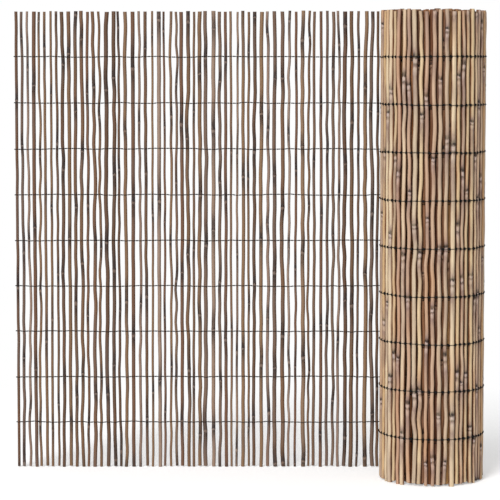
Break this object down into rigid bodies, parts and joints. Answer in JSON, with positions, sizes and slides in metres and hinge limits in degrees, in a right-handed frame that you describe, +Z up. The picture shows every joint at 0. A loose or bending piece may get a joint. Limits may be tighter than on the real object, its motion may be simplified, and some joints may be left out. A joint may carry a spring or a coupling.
{
  "type": "reed fence",
  "caption": "Reed screen standing on end: a mat of whole canes bound by rows of twisted wire, partly unrolled from its roll.",
  "frame": {"origin": "bottom centre of the whole fence, on the surface that it stands on", "axes": "+X from the free end of the flat run to the roll, +Y towards the back of the flat run, +Z up along the canes"},
  "size_m": [1.0167, 0.2349, 1],
  "materials": {
    "unrolled_reed": "matt dry cane, brown with dark joints",
    "rolled_reed": "satin dry cane, tan to cream with grey-mauve stretches",
    "binding_wire": "dark annealed"
  },
  "bodies": {
    "root": {"unrolled_reeds": "unrolled_reed", "rolled_reeds": "rolled_reed", "outer_wire_1": "binding_wire", "outer_wire_2": "binding_wire", "outer_wire_3": "binding_wire", "outer_wire_4": "binding_wire", "outer_wire_5": "binding_wire", "outer_wire_6": "binding_wire", "outer_wire_7": "binding_wire", "outer_wire_8": "binding_wire", "outer_wire_9": "binding_wire", "inner_wire_1": "binding_wire", "inner_wire_2": "binding_wire", "inner_wire_3": "binding_wire", "inner_wire_4": "binding_wire", "inner_wire_5": "binding_wire", "inner_wire_6": "binding_wire", "inner_wire_7": "binding_wire", "inner_wire_8": "binding_wire", "inner_wire_9": "binding_wire"}
  },
  "joints": []
}
